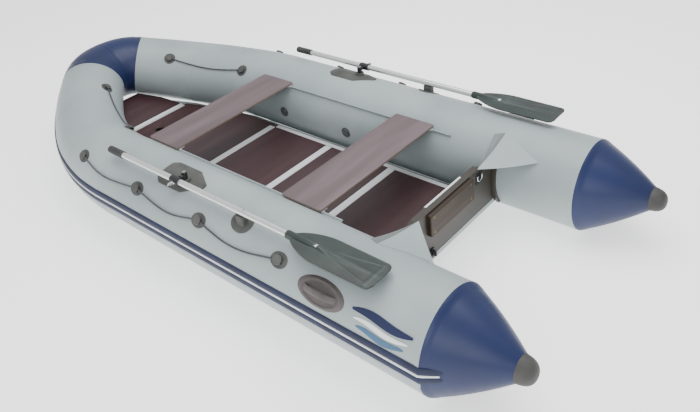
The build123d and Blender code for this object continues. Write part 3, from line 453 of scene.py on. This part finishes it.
def patch(name, columns, rows, place, thickness, body, finish, side):
    """A sheet whose grid is carried by place(u, v), given a thickness and mirrored to its side."""
    bm = bmesh.new()
    bmesh.ops.create_grid(bm, x_segments=columns, y_segments=rows, size=0.5)
    for vert in bm.verts:
        vert.co = place(vert.co.x + 0.5, vert.co.y + 0.5)
    bmesh.ops.remove_doubles(bm, verts=bm.verts, dist=2e-5)
    bmesh.ops.dissolve_degenerate(bm, edges=bm.edges, dist=1e-5)
    bmesh.ops.recalc_face_normals(bm, faces=bm.faces)
    bmesh.ops.solidify(bm, geom=bm.faces[:], thickness=thickness)
    if side < 0:
        bmesh.ops.scale(bm, vec=(1, -1, 1), verts=bm.verts)
    return piece_from(bm, name, body, finish)


def gusset_sheet(edge_from, edge_to, slack):
    """From the corner at u = 0 to an edge laid on the tube at u = 1, with a little slack."""
    def place(u, v):
        x = edge_from[0] + (edge_to[0] - edge_from[0]) * v
        angle = edge_from[1] + (edge_to[1] - edge_from[1]) * v
        held = on_side(x, angle, OFF_SKIN)
        point = CORNER.lerp(held, u)
        point.z -= slack * math.sin(math.pi * u) * (1 - 0.3 * math.cos(2 * math.pi * v))
        drop = TUBE_Y - point.y
        if drop < TUBE_R:
            point.z = max(point.z, TUBE_R + math.sqrt(TUBE_R**2 - drop**2) + OFF_SKIN)
        return point
    return place


# Where each sheet's far edge lies: two (place along the boat, degrees round the tube), and its slack.
# The fore sheet is the grey tube fabric drawn darker: painted shade, for the shadow its fold lies in.
fore_gusset_painted_shade_fabric = coated_fabric("pvc_fabric_painted_shade", (0.25, "6A706F"), (0.55, "767C7B"), (0.8, "828887"))
GUSSETS = {"aft": ((1.062, 113), (1.275, 138), 0.010, grey_fabric),
           "fore": ((1.012, 119), (1.060, 113), 0.012, fore_gusset_painted_shade_fabric)}
for side_name, side in SIDES.items():
    for part, (edge_from, edge_to, slack, finish) in GUSSETS.items():
        gusset = patch(f"{side_name}_gusset_{part}", 18, 16, gusset_sheet(edge_from, edge_to, slack),
                       CLOTH_T, "hull", finish, side)
        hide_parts("transom_gussets")


# ---- Floorboards and seats ----------------------------------------------------------------
# Five boards of maroon film-faced ply, joined by aluminium profiles and held by a stringer
# along each side. Two seat boards slide on flat rails glued to the tubes.
# The floor boards are the seats' ply drawn darker: painted shade, for the shade inside the boat.
floor_ply_painted_shade = film_faced_ply("floor_ply_painted_shade", "Z", ("8E7C6C", "4A3C34"),
                           (0.3, "341E21"), (0.55, "3F272A"), (0.8, "4D3336"))
seat_ply = film_faced_ply("seat_ply", "Z", ("9A8878", "4A3C34"),
                          (0.3, "564749"), (0.55, "635356"), (0.8, "726166"))
dress(floor_ply_painted_shade, "floorboard_aft", "floorboard_4", "floorboard_3", "floorboard_2", "floorboard_bow")
dress(profile_metal, "floor_joint_profiles", "floor_stringers", "front_seat_slides", "rear_seat_slides")
dress(seat_ply, "front_seat_board", "rear_seat_board")
dress(grey_fabric, "seat_rails")


# ---- Rub strake ---------------------------------------------------------------------------
# An extruded rubber fender strip glued round the widest line of the tubes, in one run from
# stern to stern: two navy ribs, a white cord laid in the groove between them and a pale flange.
STRAKE_HALF_TURN = 0.0475 / TUBE_R
STRAKE_SINK = 0.004        # how far its ends run down into the cones
# Profiles: (share of the strip's half width, up from its middle; millimetres off the skin).
NAVY_PROFILE = [(-0.5, 1.3), (-0.5, 3.6), (-0.4, 6.0), (-0.15, 7.2), (0.1, 6.6), (0.18, 4.0), (0.42, 4.0),
                (0.5, 6.6), (0.7, 7.2), (0.9, 6.0), (1.0, 3.6), (1.0, 1.3), (0.25, 1.3)]
WHITE_PROFILE = [(0.2, 4.1), (0.22, 7.0), (0.27, 8.2), (0.33, 8.2), (0.38, 7.0), (0.4, 4.1)]
PALE_PROFILE = [(-1.0, 1.3), (-1.0, 2.6), (-0.9, 4.0), (-0.62, 4.4), (-0.51, 3.4), (-0.51, 1.3)]


def strip_ring(bm, profile, place):
    """Closed section of a strip on the tube, from (share of its half width, height in mm)."""
    corners = []
    for share, height in profile:
        angle = share * STRAKE_HALF_TURN
        reach = 1 + height / 1000 / TUBE_R
        corners.append(bm.verts.new(place @ Vector((reach * math.cos(angle), reach * math.sin(angle), 0))))
    return [bm.edges.new((a, b)) for a, b in zip(corners, corners[1:] + corners[:1])]


def strake_places(on_cone):
    """Sections from a length on the starboard cone, round the nose, to as much on the port cone."""
    places = []
    for i in range(5):
        x = STERN_X + on_cone * (1 - i / 4)
        point, ahead, radius = cone_at(x)
        places.append(across((point, ahead, radius - STRAKE_SINK * (1 - i / 4) ** 2)))
    places += [across(side_at(STERN_X + (BEND_X - STERN_X) * i / 8)) for i in range(1, 9)]
    places += [across(bend_at(i / 36)) for i in range(1, 37)]
    places += [across(nose_at(i / 14)) for i in range(1, 15)]
    return places + [mirrored(place) for place in reversed(places[:-1])]


strake_navy = moulded_rubber("strake_navy", (0.3, "131A34"), (0.7, "1C2544"))
strake_white = moulded_rubber("strake_white", (0.3, "DADCDE"), (0.7, "EDEEEF"))
strake_pale = moulded_rubber("strake_pale", (0.3, "9DA3A6"), (0.7, "ADB2B4"))
for strip_name, profile, on_cone, finish in (("rub_strake_navy", NAVY_PROFILE, 0.075, strake_navy),
                                             ("rub_strake_white", WHITE_PROFILE, 0.066, strake_white),
                                             ("rub_strake_flange", PALE_PROFILE, 0.004, strake_pale)):
    strip = bmesh.new()
    sections = strake_places(on_cone)
    sweep(strip, strip_ring(strip, profile, sections[0]), sections)
    strake = piece_from(strip, strip_name, "hull", finish)
    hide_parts("rub_strakes")


# ---- Rowlocks, rubber fittings and valves -------------------------------------------------
# Rubber pads glued to the tube tops carry a steel rowlock pin, the oar saddle and the rope
# eyes. The air valves are screwed plastic bodies in rubber rings on the tubes' inboard sides.
fitting_rubber = moulded_rubber("fitting_rubber", (0.3, "41423F"), (0.7, "575855"))
steel = brushed_metal("turned_steel", "A8A8AA", 0.32, (1, 1, 0.2))
dress(fitting_rubber, "rowlock_pads", "oar_saddles", "lifeline_fittings", "grab_line_eyes")
dress(steel, "rowlock_pins")
dress(moulded_plastic("valve_plastic", 0.5, (0.3, "46484B"), (0.7, "54575A")), "air_valves")
for side_name in SIDES:
    dress(black_plastic, f"{side_name}_rowlock_swivel")
    dress(steel, f"{side_name}_wing_bolt")


# ---- Oars ---------------------------------------------------------------------------------
# A two-part anodised tube with a rubber grip and a dark sea green polypropylene blade: a fluted
# socket over the shaft's end, a spine and shallow creases that stiffen the blade.
OAR_Y = 0.690
OAR_Z = 0.468
SOCKET_X = 0.760
SOCKET_END_X = 0.905
BLADE_X = 0.795
BLADE_TIP_X = 1.239
BLADE_HALF = 0.0815
BLADE_NECK = 0.022
BLADE_T = 0.0048
BLADE_TAPER = 0.004        # lost half width, full width to tip
FULL_WIDTH_FROM = 0.40     # share of the blade's length where it reaches full width
CORNER_FROM = 0.94         # share where the tip's corners start
CORNER_CUT = 0.026
SPINE_H = 0.0100
SPINE_HALF = 0.011
CREASE_H = 0.0016
CREASE_HALF = 0.0035
CREASE_FROM = 0.25         # share where the creases leave the spine
END_BAR_AT = 0.93
END_BAR_H = 0.0014
CUP = 0.0030
SKIN_GAP = 0.0001          # keeps the face clear of the sheet's middle
EDGE_RIM_H = 0.0013
EDGE_RIM_FROM = 0.93       # share of the half width where the rim starts
EDGE_RIM_WIDTH = 0.07
CREASE_SPREAD = 0.78       # share of the half width that the creases reach at the tip
CREASE_START = 0.05
END_BAR_WIDTH = 0.012
END_BAR_REACH = 0.8        # share of the half width that the bar covers
SOCKET_R = 0.0188
FLUTES = 16
FLUTE_DEPTH = 0.94


def moulded_blade():
    """Polypropylene: semi-gloss, a little light coming through it, with pale scratches along it."""
    finish = new_finish("blade_polypropylene", IOR=1.49, Subsurface_Weight=0.06)
    place = add_node(finish, "ShaderNodeTexCoord").outputs["Object"]
    flow = add_node(finish, "ShaderNodeTexNoise", {"Vector": place, "Scale": spaced(140), "Detail": 4.0})
    tone = add_node(finish, "ShaderNodeValToRGB", {"Fac": flow.outputs["Fac"]},
                    ((0.3, "1F2B28"), (0.6, "2A3733"), (0.85, "3A4843")))
    drawn = add_node(finish, "ShaderNodeMapping", {"Vector": place, "Scale": (0.12, 1, 1)})
    scratches = add_node(finish, "ShaderNodeTexNoise", {
        "Vector": drawn.outputs["Vector"], "Scale": spaced(17), "Detail": 6.0, "Roughness": 0.7})
    dull = add_node(finish, "ShaderNodeMapRange", {
        "Value": scratches.outputs["Fac"], "To Min": 0.24, "To Max": 0.46})
    raised = add_node(finish, "ShaderNodeBump", {
        "Height": scratches.outputs["Fac"], "Distance": 0.0003, "Strength": 0.5})
    finish_with(finish, Base_Color=tone.outputs["Color"], Roughness=dull.outputs["Result"],
                Normal=raised.outputs["Normal"])
    return finish


def blade_half_width(u):
    """Widens from the socket to its full width, then rounded corners at the tip."""
    if u < FULL_WIDTH_FROM:
        share = math.sin(u / FULL_WIDTH_FROM * math.pi / 2) ** 0.75
        return BLADE_NECK + (BLADE_HALF - BLADE_NECK) * share
    corner = max(0.0, (u - CORNER_FROM) / (1 - CORNER_FROM))
    rounding = CORNER_CUT * (1 - math.sqrt(max(0.0, 1 - corner**2)))
    return BLADE_HALF - BLADE_TAPER * (u - FULL_WIDTH_FROM) - rounding


def blade_face(u, v):
    """Cupped face with its spine, edge rim, two creases and a bar across the tip."""
    half = blade_half_width(u)
    y = (2 * v - 1) * half
    spine = SPINE_H * (1 - u) ** 0.8 * math.exp(-(y / SPINE_HALF) ** 2)
    rim = EDGE_RIM_H * max(0.0, abs(2 * v - 1) - EDGE_RIM_FROM) / EDGE_RIM_WIDTH
    crease_y = BLADE_HALF * CREASE_SPREAD * max(0.0, (u - CREASE_FROM) / (1 - CREASE_FROM))
    creased = CREASE_FROM + CREASE_START < u < END_BAR_AT
    crease = CREASE_H * math.exp(-((abs(y) - crease_y) / CREASE_HALF) ** 2) if creased else 0.0
    barred = abs(y) < half * END_BAR_REACH
    end_bar = END_BAR_H * math.exp(-((u - END_BAR_AT) / END_BAR_WIDTH) ** 2) if barred else 0.0
    cup = CUP * (y / BLADE_HALF) ** 2
    lift = BLADE_T / 2 + SKIN_GAP + spine + rim + crease + end_bar - cup
    return Vector((BLADE_X + (BLADE_TIP_X - BLADE_X) * u, OAR_Y + y, OAR_Z + lift))


def fluted_socket(side):
    """Fluted tube over the shaft, tapering into the spine."""
    socket = bmesh.new()
    socket_marks = [(SOCKET_X, 0.95), (SOCKET_X + 0.003, 1.0),
                    (SOCKET_END_X - 0.03, 1.0), (SOCKET_END_X, 0.86)]
    spine_marks = [(SOCKET_END_X + 0.06, 0.62), (SOCKET_END_X + 0.16, 0.38), (SOCKET_END_X + 0.25, 0.2)]
    places = []
    for x, share in socket_marks + spine_marks:
        size = Matrix.Diagonal((SOCKET_R * share, SOCKET_R * share, 1, 1))
        places.append(Matrix.Translation((x, OAR_Y, OAR_Z)) @ Matrix.Rotation(math.pi / 2, 4, "Y") @ size)
    ring = bmesh.ops.create_circle(socket, segments=2 * FLUTES, radius=1.0)["verts"]
    bmesh.ops.scale(socket, vec=(FLUTE_DEPTH, FLUTE_DEPTH, 1), verts=ring[::2])
    bmesh.ops.transform(socket, matrix=places[0], verts=ring)
    sweep(socket, list({e for v in ring for e in v.link_edges}), places)
    if side < 0:
        bmesh.ops.scale(socket, vec=(1, -1, 1), verts=socket.verts)
    return socket


shaft_metal = brushed_metal("anodised_tube", "E6E7E4", 0.27, (0.05, 1, 1), 0.85)
grip_rubber = moulded_rubber("grip_rubber", (0.3, "303030"), (0.7, "424241"))
blade_plastic = moulded_blade()
for side_name, side in SIDES.items():
    blade = patch(f"{side_name}_blade", 72, 48, blade_face, BLADE_T, f"{side_name}_oar",
                  blade_plastic, side)
    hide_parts(f"{side_name}_oar_blade")
    socket_piece = piece_from(fluted_socket(side), f"{side_name}_blade_socket", f"{side_name}_oar",
                              blade_plastic)
    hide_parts(f"{side_name}_oar_blade")
    dress(shaft_metal, f"{side_name}_oar_shaft", f"{side_name}_oar_lower_shaft")
    dress(grip_rubber, f"{side_name}_oar_grip")
    dress(black_plastic, f"{side_name}_oar_collar")
    dress(steel, f"{side_name}_oar_button")


# ---- Carry handles ------------------------------------------------------------------------
# Moulded rubber: an oval flange with a raised rim, glued down on each stern quarter, and a
# round grip that arches over its hollow.
HANDLE_X = 0.992
HANDLE_ANGLE = 32.5
HANDLE_HALF_LENGTH = 0.119
HANDLE_HALF_TURN = 15.4
FLANGE_T = 0.0016
FLANGE_H = 0.0040
RIM_AT = 0.80              # rim's place, in shares out from the middle
RIM_WIDTH = 0.07
RIM_H = 0.0045
GRIP_HALF_LENGTH = 0.086
GRIP_ARCH = 0.0285
GRIP_HALF_T = 0.0050
GRIP_HALF_WIDTH = 0.0135
GRIP_SECTIONS = 24
GRIP_END_DIP = 0.003       # how far its ends press down
GRIP_END_SWELL = 0.0022
GRIP_SINK = 0.0005
SECTION_DEPTH = 0.01       # only keeps the section's matrix from being flat

handle_rubber = moulded_rubber("handle_rubber", (0.3, "4F4A49"), (0.7, "625C5A"))


def handle_flange(u, v):
    """Oval flange: crowned edge, raised rim, dished middle."""
    across_share = math.sin(math.pi * (v - 0.5))
    along_share = math.sin(math.pi * (u - 0.5))
    half = math.sqrt(max(0.0, 1 - across_share**2))
    out = math.hypot(along_share * half, across_share)
    rim = RIM_H * math.exp(-((out - RIM_AT) / RIM_WIDTH) ** 2)
    lift = FLANGE_T + FLANGE_H * min(1.0, (1 - out) * 9) + rim
    return on_side(HANDLE_X + HANDLE_HALF_LENGTH * along_share * half,
                   HANDLE_ANGLE + HANDLE_HALF_TURN * across_share, lift)


def grip_places():
    """Sections of the arched grip: X out of the tube, Y round it, Z along it."""
    turn = math.radians(HANDLE_ANGLE)
    out = Vector((0, math.cos(turn), math.sin(turn)))
    round_tube = Vector((0, -math.sin(turn), math.cos(turn)))
    places = []
    for i in range(GRIP_SECTIONS + 1):
        share = 2 * i / GRIP_SECTIONS - 1
        arch = GRIP_ARCH * (1 - abs(share) ** 4) - GRIP_END_DIP * abs(share) ** 8
        thick = GRIP_HALF_T + GRIP_END_SWELL * abs(share) ** 6
        columns = (out * thick, round_tube * GRIP_HALF_WIDTH, Vector((-SECTION_DEPTH, 0, 0)))
        basis = Matrix(columns).transposed().to_4x4()
        middle = on_side(HANDLE_X - GRIP_HALF_LENGTH * share, HANDLE_ANGLE, arch - GRIP_SINK)
        places.append(Matrix.Translation(middle) @ basis)
    return places


for side_name, side in SIDES.items():
    flange = patch(f"{side_name}_handle_flange", 40, 28, handle_flange, FLANGE_T, "hull",
                   handle_rubber, side)
    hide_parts("carry_handles")
    grip = bmesh.new()
    stations = grip_places()
    ring = bmesh.ops.create_circle(grip, segments=20, radius=1.0, matrix=stations[0])["verts"]
    sweep(grip, list({e for v in ring for e in v.link_edges}), stations)
    if side < 0:
        bmesh.ops.scale(grip, vec=(1, -1, 1), verts=grip.verts)
    grip_piece = piece_from(grip, f"{side_name}_handle_grip", "hull", handle_rubber)
    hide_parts("carry_handles")


# ---- Lifelines and bow grab lines ---------------------------------------------------------
# Braided polyester line, 8 mm across. Each runs through moulded rubber fittings glued to the
# tube and sags a little against the skin between them. Its ends are held in the end fittings.
ROPE_R = 0.004
# Control points: millimetres aft of the bend, degrees round the tube, millimetres off the skin.
LIFELINE_ROUTE = [
    (-159, 45, 9), (-86, 41, 7), (-10, 36.5, 5.8), (80, 34.5, 5.8), (168, 36, 5.8), (255, 38.5, 7),
    (334, 41, 9), (410, 37.5, 7), (498, 33.5, 5.8), (588, 31.5, 5.8), (672, 34, 5.8), (738, 38, 7),
    (803, 41, 9), (882, 37, 7), (968, 33, 5.8), (1060, 32, 5.8), (1148, 34.5, 5.8), (1230, 39, 7),
    (1309, 43, 9),
]
GRAB_LINE_ROUTE = [
    (-786, 134, 9), (-708, 138, 7), (-620, 141, 5.8), (-523, 142.5, 5.8), (-425, 141, 5.8),
    (-322, 137.5, 7), (-225, 134, 9),
]


def braided_line():
    """Braided polyester: plaits 4 mm long, pale on their crowns and darkened into the grooves between them
    by painted shade, soft and dull.
    """
    finish = new_finish("braided_line", Roughness=0.85, Sheen_Weight=0.3)
    place = add_node(finish, "ShaderNodeTexCoord").outputs["Object"]
    plaits = add_node(finish, "ShaderNodeTexVoronoi", {
        "Vector": place, "Scale": spaced(3.8), "Randomness": 0.4})
    # Painted shade: the colour darkens from each plait's crown into the grooves between the plaits.
    tone = add_node(finish, "ShaderNodeValToRGB", {"Fac": plaits.outputs["Distance"]},
                    ((0.0, "4A4D55"), (0.6, "2A2D33"), (1.0, "191B1F")))
    raised = add_node(finish, "ShaderNodeBump", {"Height": plaits.outputs["Distance"], "Distance": -0.0012})
    finish_with(finish, Base_Color=tone.outputs["Color"], Normal=raised.outputs["Normal"])
    return finish


def tube_at(x):
    """Station of the starboard tube where its axis crosses x."""
    if x >= BEND_X:
        return side_at(x)
    low, high = 0.0, 1.0
    for _ in range(40):
        middle = (low + high) / 2
        low, high = (middle, high) if bend_at(middle)[0].x > x else (low, middle)
    return bend_at(low)


def on_skin(back, angle, lift):
    """Point off the starboard tube's skin."""
    turn = math.radians(angle)
    return across(tube_at(BEND_X + back / 1000), lift / 1000) @ Vector((math.cos(turn), math.sin(turn), 0))


def line_along(name, route, side):
    """One smooth line through the route's control points, held at both ends by its fittings."""
    curve = bpy.data.curves.new(name, "CURVE")
    curve.dimensions = "3D"
    curve.bevel_depth = ROPE_R
    curve.bevel_resolution = 3
    curve.resolution_u = 6
    curve.use_fill_caps = True
    spline = curve.splines.new("NURBS")
    spline.points.add(len(route) - 1)
    for control, station in zip(spline.points, route):
        x, y, z = on_skin(*station)
        control.co = (x, y * side, z, 1.0)
    spline.order_u = 3
    spline.use_endpoint_u = True
    curve.materials.append(line_finish)
    piece = bpy.data.objects.new(name, curve)
    bpy.context.scene.collection.objects.link(piece)
    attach(piece, "hull")
    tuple(spline.points[0].co[:3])
    return piece


line_finish = braided_line()
for side_name, side in SIDES.items():
    lifeline = line_along(f"{side_name}_lifeline_rope", LIFELINE_ROUTE, side)
    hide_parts(f"{side_name}_lifeline")
    grab_line = line_along(f"{side_name}_grab_rope", GRAB_LINE_ROUTE, side)
    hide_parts(f"{side_name}_grab_line")


# ---- Side decals --------------------------------------------------------------------------
# Cut vinyl on each stern quarter: three tapering wave stripes in navy, white and sea blue.
FILM_T = 0.0003
FILM_LIFT = 0.0022
WAVE_HEIGHT = 1.6
# Colour, middle and half width in degrees round the tube, phase, start, end, hex colour.
STRIPES = [("navy", 35.0, 4.6, 0.0, 1.150, 1.425, "1C2448"),
           ("white", 26.2, 2.7, 0.5, 1.165, 1.410, "ECEDEE"),
           ("sea", 18.7, 3.3, 1.0, 1.180, 1.395, "2F5C80")]


def cut_vinyl(name, hex_colour):
    """Calendered vinyl film: smooth, glossy, soiled in patches."""
    finish = new_finish(name, Base_Color=linear(hex_colour), IOR=1.5)
    place = add_node(finish, "ShaderNodeTexCoord").outputs["Object"]
    grime = add_node(finish, "ShaderNodeTexNoise", {"Vector": place, "Scale": spaced(33), "Detail": 5.0})
    soiled = add_node(finish, "ShaderNodeMapRange", {
        "Value": grime.outputs["Fac"], "To Min": 0.22, "To Max": 0.38})
    finish_with(finish, Roughness=soiled.outputs["Result"])
    return finish


def wave_stripe(middle, half, phase, start, end):
    """A stripe that swells in its middle and tapers to both ends, riding on a long wave."""
    def place(u, v):
        swell = half * math.sin(math.pi * (0.04 + 0.92 * u)) ** 0.7
        wave = WAVE_HEIGHT * math.sin(2 * math.pi * u + phase)
        return on_side(start + (end - start) * u, middle + wave + swell * (2 * v - 1), FILM_LIFT)
    return place


vinyl = {colour: cut_vinyl(f"{colour}_vinyl", hex_colour) for colour, *_, hex_colour in STRIPES}
for side_name, side in SIDES.items():
    for colour, middle, half, phase, start, end, _ in STRIPES:
        patch(f"{side_name}_decal_{colour}", 48, 6, wave_stripe(middle, half, phase, start, end), FILM_T,
              "hull", vinyl[colour], side)


# ---- Floor and light ----------------------------------------------------------------------
# A plain white studio floor that glows a little, one broad soft light overhead, a weaker one
# from the camera's side and an even pale surround.
FLOOR_HALF = 40.0
FLOOR_DROP = 0.001


def soft_light(name, size, power, at, aim=(0, 0, 0.2)):
    """A square area light, turned to its aim."""
    lamp = bpy.data.lights.new(name, "AREA")
    lamp.size = size
    lamp.energy = power
    light = bpy.data.objects.new(name, lamp)
    bpy.context.scene.collection.objects.link(light)
    light.location = at
    light.rotation_euler = (Vector(aim) - Vector(at)).to_track_quat("-Z", "Y").to_euler()


ground = bmesh.new()
bmesh.ops.create_grid(ground, x_segments=1, y_segments=1, size=FLOOR_HALF,
                      matrix=Matrix.Translation((0, 0, -FLOOR_DROP)))
floor_mesh = bpy.data.meshes.new("studio_floor")
ground.to_mesh(floor_mesh)
ground.free()
floor_mesh.materials.append(new_finish("white_floor", Base_Color=linear("F6F6F5"), Roughness=0.9,
                                       Emission_Color=linear("FFFFFF"), Emission_Strength=1.0))
studio_floor = bpy.data.objects.new("studio_floor", floor_mesh)
bpy.context.scene.collection.objects.link(studio_floor)
soft_light("overhead", 4.0, 180.0, (0.4, 0.6, 4.2))
soft_light("camera_side", 3.0, 90.0, (3.5, -4.0, 2.8))
surround = bpy.data.worlds.new("surround")
surround.use_nodes = True
surround.node_tree.nodes["Background"].inputs["Color"].default_value = linear("F2F4F7")
surround.node_tree.nodes["Background"].inputs["Strength"].default_value = 0.95
bpy.context.scene.world = surround
